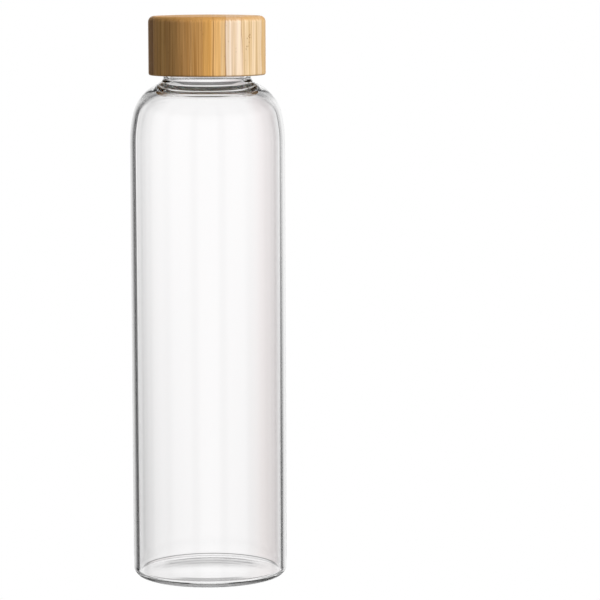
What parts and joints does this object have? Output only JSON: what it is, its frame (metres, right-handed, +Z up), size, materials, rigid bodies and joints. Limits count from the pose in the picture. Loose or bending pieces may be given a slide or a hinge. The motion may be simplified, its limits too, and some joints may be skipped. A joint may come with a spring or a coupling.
{
  "type": "glass water bottle",
  "caption": "Tall cylindrical clear glass water bottle with a rounded shoulder, a short threaded neck and a screw-on bamboo cap with a threaded liner and sealing ring.",
  "frame": {"origin": "centre of the base, on the surface that the bottle stands on", "axes": "+Z up along the bottle's axis, from base to cap; X and Y are alike, as the bottle is round"},
  "size_m": [0.065, 0.065, 0.237],
  "materials": {
    "glass": "clear, polished",
    "bamboo": "fine sanded, satin oil",
    "liner_plastic": "moulded, semi-matt",
    "silicone": "translucent white, matt"
  },
  "bodies": {
    "bottle": {"glass_bottle": "glass"},
    "seal": {"silicone_gasket": "silicone"},
    "cap": {"bamboo_cap": "bamboo", "threaded_liner": "liner_plastic"}
  },
  "joints": [
    {"name": "cap_rise", "type": "slide", "parent": "bottle", "child": "seal", "axis": [0, 0, 1], "range_m": [0, 0.0201]},
    {"name": "cap_unscrew", "type": "hinge", "parent": "seal", "child": "cap", "pos_m": [0, 0, 0.222], "axis": [0, 0, 1], "range_deg": [0, 1800]}
  ],
  "couplings": [
    {"joint": "cap_rise", "follows": "cap_unscrew", "m_per_rad": 0.00063662}
  ]
}
